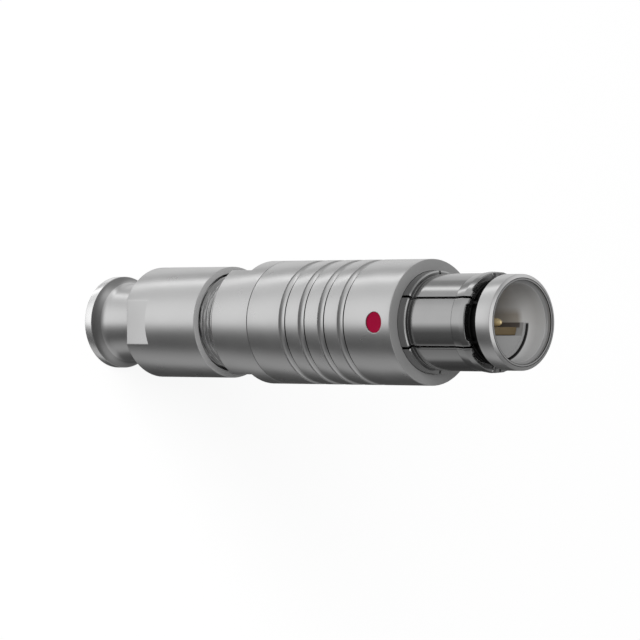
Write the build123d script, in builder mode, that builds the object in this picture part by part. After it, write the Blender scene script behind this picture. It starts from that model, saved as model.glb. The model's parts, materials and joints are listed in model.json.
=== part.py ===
from build123d import *

import os

os.makedirs("parts", exist_ok=True)

# A circular push-pull plug, standing on its cable end.
# The axis is Z, and +Z runs from the cable end to the mating end. Millimetres.
# The index dot faces -Y, and the keyed half shell is on the +X side.

# Clearances
slip_gap = 0.05
thread_gap = 0.07
joint_gap = 0.02
end_gap = 0.05
shell_gap = 0.15

# Radial sizes, from the middle outwards
cable_bore_radius = 2.75
insert_radius = 3.15
half_shell_wall = 0.35
nose_tube_wall = 0.28
finger_gap = 0.12
finger_wall = 0.5
nose_ring_step = 0.1
latch_collar_step = 0.28
heel_step = 0.4
housing_wall = 0.6
guide_step = 0.2
bush_wall = 0.28
sleeve_wall = 0.7
nut_wall = 0.66
neck_wall = 1.1
flange_rise = 0.75

# Lengths along the axis, from the cable end to the mating end
flange_thickness = 0.96
neck_length = 5.74
nut_body_length = 10.18
bare_thread_length = 3.03
end_ring_length = 4.97
sleeve_length = 19.15
finger_reach = 8.6
nose_gap = 0.95
nose_ring_length = 1.92

# Travel of the moving pieces
release_stroke = 1.3
nut_travel = 1.0

# Details of the back nut and its gland
neck_arc_length = 1.55
flange_edge_drop = 0.05
nut_flat_depth = 0.46
nut_flat_length = 3.13
nut_mouth_chamfer = 0.06
gland_floor_wall = 0.7
seal_squeeze = 0.2
seal_length = 2.1
washer_thickness = 0.6
washer_bore_gap = 0.2

# Details of the end ring, the sleeve and what they carry
ring_flat_depth = 0.92
ring_flat_length = 2.78
spigot_length = 1.5
stop_flange_rise = 0.25
stop_flange_thickness = 0.5
clip_thickness = 0.6
clip_seat_depth = 0.2
clip_slit = 1.6
sleeve_front_chamfer = 0.12
groove_count = 4
first_groove = 4.83
groove_pitch = 2.624
groove_width = 0.95
groove_depth = 0.33
dot_radius = 1.0
dot_from_front = 2.06
dot_pocket_depth = 0.35
dot_recess = 0.12

# Details of the guide key
key_width = 1.2
key_length = 2.0
key_from_ring_rear = 2.1
key_depth = 0.4
key_rise = 0.5
keyway_margin = 1.4

# Details of the latch sleeve
latch_flange_thickness = 0.8
latch_root_length = 5.03
collar_reach = 0.9
finger_count = 6
finger_slot_width = 0.22
tooth_rise = 0.14
tooth_ramp_length = 1.12
tooth_front_length = 0.88
tooth_nose_drop = 0.22
tip_pocket_width = 3.3
tip_pocket_depth = 0.25
tip_land_length = 1.2
tip_land_rise = 0.06

# Details of the nose
nose_mouth_radius_gain = 0.42
nose_mouth_depth = 0.36
nose_mouth_chamfer = 0.26
nose_tail_length = 4.0
housing_front_gap = 0.35
seal_seat_depth = 0.6
seal_seat_rise = 0.4
seal_section_radius = 0.195

# Details of the insert
lower_shell_depth = 2.82
segment_depth = 2.88
segment_chord = 1.23
segment_length = 6.4
insulator_depth = 6.4
upper_shell_depth = 6.9
insulator_length = 15.8
stop_ring_length = 1.0
stop_ring_wall = 0.6
heel_length = 7.4
pin_radius = 0.4
pin_depth = 3.33
pin_tip_length = 0.75
pin_tip_radius = 0.08
pin_spread = 1.0
cup_radius = 0.65
cup_length = 4.0
cup_bore_radius = 0.42
cup_bore_depth = 2.6
cup_cut_length = 1.6

# Details of the cable clamp
collet_bore_gap = 0.25
collet_slot_count = 4
collet_slot_width = 0.7
collet_slot_length = 6.0
collet_bell_length = 3.5
collet_bell_wall = 0.35
collet_nose_chamfer = 0.4
shield_flange_length = 1.5
shield_wall = 0.35
shield_cone_gap = 0.1

# Radii worked out from the sizes above
shell_inner = insert_radius + slip_gap
shell_outer = shell_inner + half_shell_wall
nose_bore = shell_outer + shell_gap
core_radius = nose_bore + nose_tube_wall
finger_inner = core_radius + finger_gap
finger_outer = finger_inner + finger_wall
nose_radius = finger_outer - nose_ring_step
collar_radius = finger_outer + latch_collar_step
heel_radius = nose_bore + heel_step
housing_bore = heel_radius + slip_gap
thread_radius = housing_bore + housing_wall
guide_radius = thread_radius + guide_step
bush_inner = guide_radius + slip_gap
bush_outer = bush_inner + bush_wall
sleeve_bore = bush_outer + joint_gap
sleeve_radius = sleeve_bore + sleeve_wall
sleeve_mouth = collar_radius + slip_gap
nut_bore = thread_radius + thread_gap
nut_radius = nut_bore + nut_wall
neck_radius = cable_bore_radius + neck_wall
flange_radius = neck_radius + flange_rise
ring_bore = thread_radius + slip_gap
stop_flange_radius = guide_radius + stop_flange_rise

# Stations along the axis worked out from the lengths above
neck_start = flange_thickness
nut_body_start = neck_start + neck_length
nut_front = nut_body_start + nut_body_length
ring_rear = nut_front + bare_thread_length
ring_front = ring_rear + end_ring_length
sleeve_front = ring_front + sleeve_length
finger_tip = sleeve_front + finger_reach
nose_ring_rear = finger_tip + nose_gap
nose_front = nose_ring_rear + nose_ring_length

gland_floor = nut_body_start + gland_floor_wall
seal_rear = gland_floor + end_gap
seal_front = seal_rear + seal_length
washer_rear = seal_front + end_gap
washer_front = washer_rear + washer_thickness
gland_top = washer_front + 2 * end_gap
collet_rear = washer_front + nut_travel + 2 * end_gap
housing_rear = gland_top + nut_travel + 2 * end_gap

spigot_front = ring_front + spigot_length
stop_flange_rear = spigot_front + end_gap
stop_flange_front = stop_flange_rear + stop_flange_thickness
clip_rear = stop_flange_front + release_stroke + end_gap
clip_front = clip_rear + clip_thickness
latch_flange_front = sleeve_front - latch_root_length
latch_flange_rear = latch_flange_front - latch_flange_thickness
housing_front = latch_flange_rear - release_stroke - housing_front_gap
nose_tail = housing_front - nose_tail_length

lower_shell_front = nose_front - lower_shell_depth
upper_shell_front = nose_front - upper_shell_depth
insulator_front = nose_front - insulator_depth
insulator_rear = insulator_front - insulator_length
segment_front = nose_front - segment_depth
segment_rear = segment_front - segment_length
stop_ring_rear = insulator_rear - stop_ring_length
heel_rear = nose_tail - heel_length
pin_front = nose_front - pin_depth
shield_flange_rear = heel_rear - shield_flange_length
collet_front = shield_flange_rear


def turn(points):
    """Turn an outline of (radius, height) points about the axis."""
    with BuildSketch(Plane.XZ) as outline:
        with BuildLine():
            Polyline(*points, close=True)
        make_face()
    revolve(outline.sketch, axis=Axis.Z)


def turned_tube(outer, inner, low, high):
    """A plain tube between two heights."""
    turn([(inner, low), (outer, low), (outer, high), (inner, high)])


def cut_flats(side, distance, reach, low, high):
    """Two wrench flats on opposite sides, square to the side direction."""
    plane = Plane(origin=(0, 0, low), x_dir=side, z_dir=(0, 0, 1))
    with BuildSketch(plane) as waste:
        with Locations((distance + reach / 2, 0), (-distance - reach / 2, 0)):
            Rectangle(reach, 4 * reach)
    extrude(waste.sketch, amount=high - low, mode=Mode.SUBTRACT)


def save(builder, label):
    """Name a finished piece and write it."""
    builder.part.label = label
    export_step(builder.part, "parts/" + label + ".step")


# The back nut: a flange and neck that hold a boot, a body with two wrench
# flats, the cable bore, the gland pocket and the thread bore.
with BuildPart() as back_nut:
    with BuildSketch(Plane.XZ):
        with BuildLine():
            Polyline(
                (neck_radius, nut_body_start),
                (nut_radius, nut_body_start),
                (nut_radius, nut_front),
                (nut_bore + nut_mouth_chamfer, nut_front),
                (nut_bore, nut_front - nut_mouth_chamfer),
                (nut_bore, gland_top),
                (housing_bore, gland_top),
                (housing_bore, gland_floor),
                (cable_bore_radius, gland_floor),
                (cable_bore_radius, 0),
                (flange_radius, 0),
                (flange_radius, neck_start),
            )
            edge_radius = flange_radius - flange_edge_drop
            arc_drop = edge_radius - neck_radius
            arc_radius = (neck_arc_length**2 + arc_drop**2) / (2 * arc_drop)
            arc_foot = (neck_radius, neck_start + neck_arc_length)
            Line((flange_radius, neck_start), (edge_radius, neck_start))
            RadiusArc((edge_radius, neck_start), arc_foot, arc_radius)
            Line(arc_foot, (neck_radius, nut_body_start))
        make_face()
    revolve(axis=Axis.Z)
    nut_flat_distance = nut_radius - nut_flat_depth
    nut_flat_top = nut_body_start + nut_flat_length
    cut_flats((0, 1, 0), nut_flat_distance, nut_radius, nut_body_start, nut_flat_top)
save(back_nut, "back_nut")

# The rubber gland seal and its brass washer, which move along the axis with
# the nut but do not turn.
with BuildPart() as cable_seal:
    seal_bore = cable_bore_radius - seal_squeeze
    turned_tube(housing_bore - slip_gap, seal_bore, seal_rear, seal_front)
save(cable_seal, "cable_seal")

with BuildPart() as pressure_washer:
    washer_bore = cable_bore_radius + washer_bore_gap
    turned_tube(housing_bore - slip_gap, washer_bore, washer_rear, washer_front)
save(pressure_washer, "pressure_washer")

# The cable clamp: a slotted collet with a bell mouth at its front, and the
# shield cone whose tail sits in that bell.
collet_outer = housing_bore - slip_gap
collet_bore = cable_bore_radius + collet_bore_gap
bell_radius = collet_outer - collet_bell_wall
with BuildPart() as clamp_collet:
    turn(
        [
            (collet_bore, collet_rear),
            (collet_outer - collet_nose_chamfer, collet_rear),
            (collet_outer, collet_rear + collet_nose_chamfer),
            (collet_outer, collet_front),
            (bell_radius, collet_front),
            (collet_bore, collet_front - collet_bell_length),
        ]
    )
    with BuildSketch(Plane.XY.offset(collet_rear)) as collet_slots:
        with PolarLocations(0, collet_slot_count // 2, angular_range=180):
            Rectangle(3 * collet_outer, collet_slot_width)
    extrude(collet_slots.sketch, amount=collet_slot_length, mode=Mode.SUBTRACT)
save(clamp_collet, "clamp_collet")

with BuildPart() as shield_cone:
    cone_root = bell_radius - shield_cone_gap
    cone_slope = (bell_radius - collet_bore) / collet_bell_length
    cone_length = collet_bell_length / 2
    cone_end = cone_root - cone_slope * cone_length
    cone_bore = cone_end - shield_wall
    turn(
        [
            (cone_bore, shield_flange_rear - cone_length),
            (cone_end, shield_flange_rear - cone_length),
            (cone_root, shield_flange_rear),
            (collet_outer, shield_flange_rear),
            (collet_outer, heel_rear),
            (cone_bore, heel_rear),
        ]
    )
save(shield_cone, "shield_cone")

# The rear housing: the outside thread for the nut, the plain stretch that the
# end ring slides on, the stop flange, and the bore that takes the nose tube.
key_rear = ring_rear + key_from_ring_rear
with BuildPart() as rear_housing:
    turn(
        [
            (housing_bore, housing_rear),
            (thread_radius, housing_rear),
            (thread_radius, stop_flange_rear),
            (stop_flange_radius, stop_flange_rear),
            (stop_flange_radius, stop_flange_front),
            (guide_radius, stop_flange_front),
            (guide_radius, housing_front),
            (core_radius + seal_seat_rise, housing_front),
            (core_radius + seal_seat_rise, housing_front - seal_seat_depth),
            (core_radius + joint_gap, housing_front - seal_seat_depth),
            (core_radius + joint_gap, nose_tail),
            (housing_bore, nose_tail),
        ]
    )
    key_foot = thread_radius - key_depth
    with BuildSketch(Plane.XY.offset(key_rear)) as key_pocket:
        with Locations((0, key_foot + sleeve_radius / 2)):
            Rectangle(key_width, sleeve_radius)
    extrude(key_pocket.sketch, amount=key_length, mode=Mode.SUBTRACT)
save(rear_housing, "rear_housing")

# The key that stops the sleeve from turning on the housing.
with BuildPart() as guide_key:
    key_height = key_depth + key_rise
    with BuildSketch(Plane.XY.offset(key_rear + joint_gap)):
        with Locations((0, key_foot + joint_gap + key_height / 2)):
            Rectangle(key_width - 2 * joint_gap, key_height)
    extrude(amount=key_length - 2 * joint_gap)
save(guide_key, "guide_key")

# The end ring: two wrench flats outside, a keyway inside, and a spigot that
# screws into the release sleeve.
with BuildPart() as sleeve_end_ring:
    spigot_radius = sleeve_bore - joint_gap
    turn(
        [
            (ring_bore, ring_rear),
            (sleeve_radius, ring_rear),
            (sleeve_radius, ring_front),
            (spigot_radius, ring_front),
            (spigot_radius, spigot_front),
            (ring_bore, spigot_front),
        ]
    )
    ring_flat_distance = sleeve_radius - ring_flat_depth
    ring_flat_top = ring_rear + ring_flat_length
    cut_flats((1, 0, 0), ring_flat_distance, sleeve_radius, ring_rear, ring_flat_top)
    keyway_top = key_foot + joint_gap + key_height + slip_gap
    keyway_rear = key_rear - keyway_margin
    with BuildSketch(Plane.XY.offset(keyway_rear)) as keyway:
        with Locations((0, keyway_top / 2)):
            Rectangle(key_width + 2 * slip_gap, keyway_top)
    extrude(keyway.sketch, amount=spigot_front - keyway_rear, mode=Mode.SUBTRACT)
save(sleeve_end_ring, "sleeve_end_ring")

# The release sleeve, with its grip grooves and the pocket for the index dot.
dot_height = sleeve_front - dot_from_front
with BuildPart() as release_sleeve:
    turn(
        [
            (sleeve_bore, ring_front),
            (sleeve_radius, ring_front),
            (sleeve_radius, sleeve_front - sleeve_front_chamfer),
            (sleeve_radius - sleeve_front_chamfer, sleeve_front),
            (sleeve_mouth, sleeve_front),
            (sleeve_mouth, latch_flange_front),
            (sleeve_bore, latch_flange_front),
            (sleeve_bore, clip_front),
            (sleeve_bore + clip_seat_depth, clip_front),
            (sleeve_bore + clip_seat_depth, clip_rear),
            (sleeve_bore, clip_rear),
        ]
    )
    groove_radius = (groove_width**2 / 4 + groove_depth**2) / (2 * groove_depth)
    groove_centre = sleeve_radius + groove_radius - groove_depth
    with BuildSketch(Plane.XZ) as grooves:
        for i in range(groove_count):
            with Locations((groove_centre, ring_front + first_groove + i * groove_pitch)):
                Circle(groove_radius)
    revolve(grooves.sketch, axis=Axis.Z, mode=Mode.SUBTRACT)
    dot_floor = sleeve_radius - dot_pocket_depth
    dot_plane = Plane(origin=(0, -dot_floor, dot_height), x_dir=(1, 0, 0), z_dir=(0, -1, 0))
    with BuildSketch(dot_plane) as dot_pocket:
        Circle(dot_radius)
    extrude(dot_pocket.sketch, amount=2 * dot_pocket_depth, mode=Mode.SUBTRACT)
save(release_sleeve, "release_sleeve")

# The coloured dot that shows how the plug is turned.
with BuildPart() as index_dot:
    with BuildSketch(dot_plane):
        Circle(dot_radius - joint_gap)
    extrude(amount=dot_pocket_depth - dot_recess)
save(index_dot, "index_dot")

# The split clip and the spacer bush that hold the latch sleeve in place.
with BuildPart() as retaining_clip:
    clip_outer = sleeve_bore + clip_seat_depth - joint_gap
    turned_tube(clip_outer, bush_inner + slip_gap, clip_rear, clip_front - joint_gap)
    with BuildSketch(Plane.XY.offset(clip_rear)) as clip_gap:
        with Locations((clip_outer, 0)):
            Rectangle(clip_outer, clip_slit)
    extrude(clip_gap.sketch, amount=clip_thickness, mode=Mode.SUBTRACT)
save(retaining_clip, "retaining_clip")

with BuildPart() as spacer_bush:
    turned_tube(bush_outer, bush_inner, clip_front, latch_flange_rear)
save(spacer_bush, "spacer_bush")

# The latch sleeve: a flange, a collar and six spring fingers, each with a
# tooth, a sloping nose and a pocket in its tip.
tooth_crest = finger_tip - tooth_front_length
tooth_start = tooth_crest - tooth_ramp_length
collar_front = sleeve_front + collar_reach
with BuildPart() as latch_sleeve:
    turn(
        [
            (finger_inner, latch_flange_rear),
            (bush_outer - slip_gap, latch_flange_rear),
            (bush_outer - slip_gap, latch_flange_front),
            (collar_radius, latch_flange_front),
            (collar_radius, collar_front),
            (finger_outer, collar_front),
            (finger_outer, tooth_start),
            (finger_outer + tooth_rise, tooth_crest),
            (finger_outer - tooth_nose_drop, finger_tip),
            (finger_inner, finger_tip),
        ]
    )
    with BuildSketch(Plane.XY.offset(collar_front)) as finger_slots:
        with PolarLocations(0, finger_count // 2, angular_range=180):
            Rectangle(3 * finger_outer, finger_slot_width)
    extrude(finger_slots.sketch, amount=finger_tip - collar_front, mode=Mode.SUBTRACT)
    for i in range(finger_count):
        tip_plane = Plane.XZ.rotated((0, 0, 360 / finger_count * i))
        with BuildSketch(tip_plane) as tip_pocket:
            with Locations((0, finger_tip)):
                RectangleRounded(tip_pocket_width, 2 * tip_pocket_depth, tip_pocket_depth * 0.9)
        extrude(tip_pocket.sketch, amount=sleeve_radius, mode=Mode.SUBTRACT)
save(latch_sleeve, "latch_sleeve")

# The nose tube: the front ring with its stepped mouth, and the thin tube that
# the fingers close on, with a land under their tips.
land_rear = finger_tip - tip_land_length
land_radius = core_radius + tip_land_rise
mouth_radius = nose_bore + nose_mouth_radius_gain
throat_radius = nose_bore + nose_mouth_chamfer
with BuildPart() as nose_tube:
    turn(
        [
            (nose_bore, nose_tail),
            (core_radius, nose_tail),
            (core_radius, land_rear),
            (land_radius, land_rear + tip_land_rise),
            (land_radius, nose_ring_rear),
            (nose_radius, nose_ring_rear),
            (nose_radius, nose_front),
            (mouth_radius, nose_front),
            (throat_radius, nose_front - (mouth_radius - throat_radius)),
            (throat_radius, nose_front - nose_mouth_depth),
            (nose_bore, nose_front - nose_mouth_depth - nose_mouth_chamfer),
        ]
    )
save(nose_tube, "nose_tube")

# The ring seal between the nose tube and the rear housing.
with BuildPart() as body_seal:
    seal_middle = core_radius + seal_seat_rise / 2
    seal_height = housing_front - seal_seat_depth + seal_section_radius + joint_gap
    with BuildSketch(Plane.XZ):
        with Locations((seal_middle, seal_height)):
            Circle(seal_section_radius)
    revolve(axis=Axis.Z)
save(body_seal, "body_seal")


def half_shell(front, side):
    """Half of the tube round the insert, with a heel that stops on the housing."""
    turn(
        [
            (shell_inner, heel_rear),
            (heel_radius, heel_rear),
            (heel_radius, nose_tail - joint_gap),
            (shell_outer, nose_tail - joint_gap),
            (shell_outer, front),
            (shell_inner, front),
        ]
    )
    with BuildSketch(Plane.XY.offset(heel_rear)) as other_half:
        with Locations((-side * heel_radius, 0)):
            Rectangle(2 * heel_radius, 3 * heel_radius)
    extrude(other_half.sketch, amount=front - heel_rear, mode=Mode.SUBTRACT)


# The lower half shell carries the solid segment that keys the plug.
with BuildPart() as lower_half_shell:
    half_shell(lower_shell_front, 1)
    with BuildSketch(Plane.XY.offset(segment_rear)) as segment:
        Circle(shell_inner + half_shell_wall / 2)
        with Locations((segment_chord - shell_outer, 0)):
            Rectangle(2 * shell_outer, 3 * shell_outer, mode=Mode.SUBTRACT)
    extrude(segment.sketch, amount=segment_length)
save(lower_half_shell, "lower_half_shell")

with BuildPart() as upper_half_shell:
    half_shell(upper_shell_front, -1)
save(upper_half_shell, "upper_half_shell")

# The insulator, cut back beside the keying segment, with a hole for each pin.
pin_places = [(0, pin_spread), (0, -pin_spread)]
with BuildPart() as contact_insulator:
    with BuildSketch(Plane.XY.offset(insulator_rear)):
        Circle(insert_radius)
    extrude(amount=insulator_length)
    with BuildSketch(Plane.XY.offset(segment_rear - end_gap)) as segment_room:
        with Locations((segment_chord - slip_gap + insert_radius, 0)):
            Rectangle(2 * insert_radius, 3 * insert_radius)
    extrude(segment_room.sketch, amount=insulator_length, mode=Mode.SUBTRACT)
    with BuildSketch(Plane.XY.offset(insulator_rear)) as pin_holes:
        with Locations(*pin_places):
            Circle(pin_radius + joint_gap)
    extrude(pin_holes.sketch, amount=insulator_length, mode=Mode.SUBTRACT)
save(contact_insulator, "contact_insulator")

with BuildPart() as insulator_stop_ring:
    stop_inner = insert_radius - stop_ring_wall
    turned_tube(insert_radius, stop_inner, stop_ring_rear, insulator_rear)
save(insulator_stop_ring, "insulator_stop_ring")

# Two contact pins, each with a pointed tip in front and a solder cup behind,
# whose cup is cut open on the side away from the other pin.
cup_front = insulator_rear - joint_gap
cup_rear = cup_front - cup_length
for number, (pin_x, pin_y) in enumerate(pin_places, start=1):
    with BuildPart() as contact_pin:
        pin_axis = Plane(origin=(pin_x, pin_y, 0), x_dir=(1, 0, 0), z_dir=(0, -1, 0))
        with BuildSketch(pin_axis):
            with BuildLine():
                Polyline(
                    (pin_radius, pin_front - pin_tip_length),
                    (pin_radius, cup_front),
                    (cup_radius, cup_front),
                    (cup_radius, cup_rear),
                    (cup_bore_radius, cup_rear),
                    (cup_bore_radius, cup_rear + cup_bore_depth),
                    (0, cup_rear + cup_bore_depth),
                    (0, pin_front),
                    (pin_tip_radius, pin_front),
                )
                RadiusArc(
                    (pin_tip_radius, pin_front),
                    (pin_radius, pin_front - pin_tip_length),
                    2 * pin_tip_length,
                )
            make_face()
        revolve(axis=Axis((pin_x, pin_y, 0), (0, 0, 1)))
        cup_side = pin_y + (cup_radius if pin_y > 0 else -cup_radius)
        with BuildSketch(Plane.XY.offset(cup_rear)) as cup_cut:
            with Locations((pin_x, cup_side)):
                Rectangle(2 * cup_radius, 2 * cup_radius)
        extrude(cup_cut.sketch, amount=cup_cut_length, mode=Mode.SUBTRACT)
    save(contact_pin, "contact_pin_" + str(number))

print("length", round(nose_front, 3), "sleeve radius", round(sleeve_radius, 3))
print("nut radius", round(nut_radius, 3), "nose radius", round(nose_radius, 3))
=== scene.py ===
import json
from math import acos, asin, ceil, cos, pi, radians, sin, sqrt, tan
from types import SimpleNamespace as named

import bpy
import numpy as np
from mathutils import Matrix, Vector


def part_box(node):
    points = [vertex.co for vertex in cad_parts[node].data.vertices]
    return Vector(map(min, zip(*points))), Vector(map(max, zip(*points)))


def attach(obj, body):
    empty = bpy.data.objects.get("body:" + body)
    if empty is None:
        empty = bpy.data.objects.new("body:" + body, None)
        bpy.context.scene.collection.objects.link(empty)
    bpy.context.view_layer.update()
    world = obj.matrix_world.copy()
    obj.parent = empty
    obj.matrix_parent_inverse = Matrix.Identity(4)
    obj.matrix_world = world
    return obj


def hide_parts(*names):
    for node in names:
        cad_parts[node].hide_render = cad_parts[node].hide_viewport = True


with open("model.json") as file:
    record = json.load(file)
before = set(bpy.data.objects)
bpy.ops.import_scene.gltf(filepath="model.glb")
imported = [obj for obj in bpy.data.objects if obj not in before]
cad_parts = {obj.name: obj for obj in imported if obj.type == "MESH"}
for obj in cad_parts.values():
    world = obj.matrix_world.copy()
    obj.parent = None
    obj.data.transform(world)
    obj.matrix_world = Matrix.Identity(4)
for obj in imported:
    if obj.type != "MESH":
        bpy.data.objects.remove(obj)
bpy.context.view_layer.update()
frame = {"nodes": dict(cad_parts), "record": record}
print("frame loaded")

# A push-pull plug that stands on its cable end. Lengths here are millimetres, and angles are degrees where
# they are written and radians where they are worked out. The axis is Z, the index dot is on the -Y side. Each
# piece has a dictionary of settings, which the function below it reads by name as d.
toMetres = 0.001
sharpAngle = 21  # a crease steeper than this is drawn as a hard edge
longestReach = 0.45  # the share of a side that a rounded edge may take
clearShare = 0.35  # an even column this near to an extra one, as a share of their spacing, is left out
hair = 0.001  # radii no further apart than this are the same
beside = (-0.01, 0.01)  # rows close on both sides of a step
everywhere = (-9, 9)


def low(node):
    return np.array(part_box(node)[0]) / toMetres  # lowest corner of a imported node


def high(node):
    return np.array(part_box(node)[1]) / toMetres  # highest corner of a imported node


def ends(node):
    return low(node)[2], high(node)[2]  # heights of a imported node's two ends


# Outlines


def roundCorners(corners, closed=True, turnStep=18):
    # An outline of (radius, height, edge radius) corners. Each edge becomes an arc whose centre is on the
    # corner's bisector, at edge / sin(half the corner), and its points are centre + edge * (cos, sin).
    outline = []
    count = len(corners)
    for i, (x, y, edge) in enumerate(corners):
        here = np.array((x, y), float)
        if edge <= 0 or (not closed and i in (0, count - 1)):
            outline.append(here)
            continue
        back = np.array(corners[i - 1][:2], float) - here
        ahead = np.array(corners[(i + 1) % count][:2], float) - here
        backLength, aheadLength = np.linalg.norm(back), np.linalg.norm(ahead)
        back, ahead = back / backLength, ahead / aheadLength
        half = acos(np.clip(back @ ahead, -1, 1)) / 2
        reach = min(edge / tan(half), longestReach * backLength, longestReach * aheadLength)
        edge = reach * tan(half)
        centre = here + (back + ahead) / np.linalg.norm(back + ahead) * edge / sin(half)
        first, last = here + back * reach - centre, here + ahead * reach - centre
        start = np.arctan2(first[1], first[0])
        sweep = (np.arctan2(last[1], last[0]) - start + pi) % (2 * pi) - pi
        angles = start + sweep * np.linspace(0, 1, max(1, ceil(abs(sweep) / radians(turnStep))) + 1)
        outline.extend(centre + edge * np.stack((np.cos(angles), np.sin(angles)), 1))
    return np.array(outline)


def steps(radius, start, end, count):  # evenly spaced outline points between two heights, the ends left out
    return [(radius, h, 0) for h in np.linspace(start, end, count + 2)[1:-1]]


def ring(count, extra=()):
    # Angles round the axis, evenly spaced, with extra ones put in and the even ones beside those left out.
    even = np.arange(count) * 2 * pi / count
    extra = np.mod(np.array(sorted(extra), float), 2 * pi)
    if len(extra):
        gap = np.abs((even[:, None] - extra[None, :] + pi) % (2 * pi) - pi).min(1)
        even = even[gap > clearShare * 2 * pi / count]
    return np.sort(np.concatenate((even, extra)))


# Meshes


def grid(rows, columns, closedRows=False, closedColumns=True):
    # Quads (i, j), (i + 1, j), (i + 1, j + 1), (i, j + 1) between the points of a grid that is numbered row
    # by row. Where it closes, the last row or column is followed by the first.
    i, j = np.indices((rows - (not closedRows), columns - (not closedColumns)))
    here, following, k = i * columns, (i + 1) % rows * columns, (j + 1) % columns
    return np.stack((here + j, following + j, following + k, here + k), -1)


def roundAxis(t, r, h):
    return np.stack((r * np.cos(t), r * np.sin(t), h), -1)  # x = r cos t, y = r sin t, z = h


def turned(outline, angles, shape=None):
    # A closed outline of r and h carried round the axis by the angle t. `shape` may change r and h first, as
    # whole arrays of the angle, the radius and the height.
    rows, columns = len(outline), len(angles)
    t = np.broadcast_to(angles[None, :], (rows, columns))
    r = np.repeat(outline[:, :1], columns, 1)
    h = np.repeat(outline[:, 1:], columns, 1)
    if shape:
        r, h = shape(t, r, h)
    return roundAxis(t, r, h).reshape(-1, 3), [grid(rows, columns, True).reshape(-1, 4)]


def partTurned(outline, angles, shape=None):
    # The same over only part of a turn, with the outline itself as a flat face at each end.
    points, _ = turned(outline, angles, shape)
    rows, columns = len(outline), len(angles)
    first = np.arange(rows) * columns
    sides = grid(rows, columns, True, False).reshape(-1, 4)
    return points, [sides, first[None, :], first[None, ::-1] + columns - 1]


def spun(outline, angles):
    # An outline that starts and ends on the axis, carried round it: the rows between become quads, and each
    # end is one point with a fan of triangles.
    inner = outline[1:-1]
    rows, columns = len(inner), len(angles)
    t = np.broadcast_to(angles[None, :], (rows, columns))
    points = roundAxis(t, inner[:, :1], np.repeat(inner[:, 1:], columns, 1)).reshape(-1, 3)
    tips = np.array(((0, 0, outline[0][1]), (0, 0, outline[-1][1])))
    j = np.arange(columns)
    k = (j + 1) % columns
    firstFan = np.stack((np.full(columns, rows * columns), j, k), -1)
    lastRow = (rows - 1) * columns
    lastFan = np.stack((np.full(columns, rows * columns + 1), lastRow + k, lastRow + j), -1)
    return np.concatenate((points, tips)), [grid(rows, columns).reshape(-1, 4), firstFan, lastFan]


def walled(outer, inner, kept):
    # Two grids of points round the axis, an outer skin and an inner one, with a wall between them wherever a
    # kept cell ends. A cell that isn't kept leaves an opening through both skins.
    rows, columns = outer.shape[:2]
    corner = grid(rows, columns)[..., (0, 3, 2, 1)]
    offset = rows * columns
    skins = [corner[kept], corner[kept][:, ::-1] + offset]
    padded = np.pad(kept, ((1, 1), (0, 0)))
    sideways = np.pad(kept, ((0, 0), (1, 1)), mode="wrap")
    neighbours = (padded[:-2], sideways[:, 2:], padded[2:], sideways[:, :-2])
    for side, neighbour in enumerate(neighbours):
        edge = corner[kept & ~neighbour][:, (side, (side + 1) % 4)]
        skins.append(np.stack((edge[:, 1], edge[:, 0], edge[:, 0] + offset, edge[:, 1] + offset), -1))
    used, quads = np.unique(np.concatenate(skins), return_inverse=True)
    return np.concatenate((outer.reshape(-1, 3), inner.reshape(-1, 3)))[used], [quads.reshape(-1, 4)]


def bar(outline, rear, front, rearEdge, frontEdge, edgeRows=5):
    # A flat outline drawn from one height to another. An end may round off on a quarter circle: at an angle a
    # the outline has moved in by edge (1 - cos a) and its height is edge (1 - sin a) short of the end.
    middle = (outline.max(0) + outline.min(0)) / 2
    half = np.abs(outline - middle).max(0)
    a = np.linspace(0, pi / 2, edgeRows)
    first = a[::-1] if rearEdge else a[:1]
    inset = np.concatenate((rearEdge * (1 - np.cos(first)), frontEdge * (1 - np.cos(a))))
    heights = np.concatenate((rear + rearEdge * (1 - np.sin(first)), front - frontEdge * (1 - np.sin(a))))
    flat = middle + (outline - middle)[None, :, :] * (1 - inset[:, None, None] / half)
    rows, columns = flat.shape[:2]
    lift = np.broadcast_to(heights[:, None, None], (rows, columns, 1))
    points = np.concatenate((flat, lift), 2).reshape(-1, 3)
    sides = grid(rows, columns)[..., (0, 3, 2, 1)].reshape(-1, 4)
    return points, [sides, np.arange(columns)[None, ::-1], (rows - 1) * columns + np.arange(columns)[None, :]]


def addPiece(name, shape, finish, slot, body, *replaced):
    # Makes a mesh of points and faces, turned outwards by the sign of its volume, the sum over its triangles of
    # a . (b x c) / 6, and says which body carries the piece and hides the imported nodes it stands for.
    points, faces = shape
    volume = 0
    for group in faces:
        for n in range(1, group.shape[1] - 1):
            a, b, c = points[group[:, 0]], points[group[:, n]], points[group[:, n + 1]]
            volume += np.einsum("ij,ij->", a, np.cross(b, c)) / 6
    if volume < 0:
        faces = [group[:, ::-1] for group in faces]
    mesh = bpy.data.meshes.new(name)
    mesh.from_pydata(points * toMetres, [], [face for group in faces for face in group.tolist()])
    mesh.validate()
    mesh.shade_smooth()
    mesh.set_sharp_from_angle(angle=radians(sharpAngle))
    mesh.materials.append(finish)
    piece = bpy.data.objects.new(name, mesh)
    bpy.context.scene.collection.objects.link(piece)
    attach(piece, body)
    if replaced:
        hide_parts(*replaced)
    print(name, "built,", len(mesh.polygons), "faces")
    return piece


# Finishes


def addNode(tree, kind, inputs=(), **settings):
    # One shader node, with its settings, and its inputs set or linked by name or number.
    made = tree.nodes.new(kind)
    for key, value in settings.items():
        setattr(made, key, value)
    for key, value in dict(inputs).items():
        if isinstance(value, bpy.types.NodeSocket):
            tree.links.new(value, made.inputs[key])
        else:
            made.inputs[key].default_value = value
    return made


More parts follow.
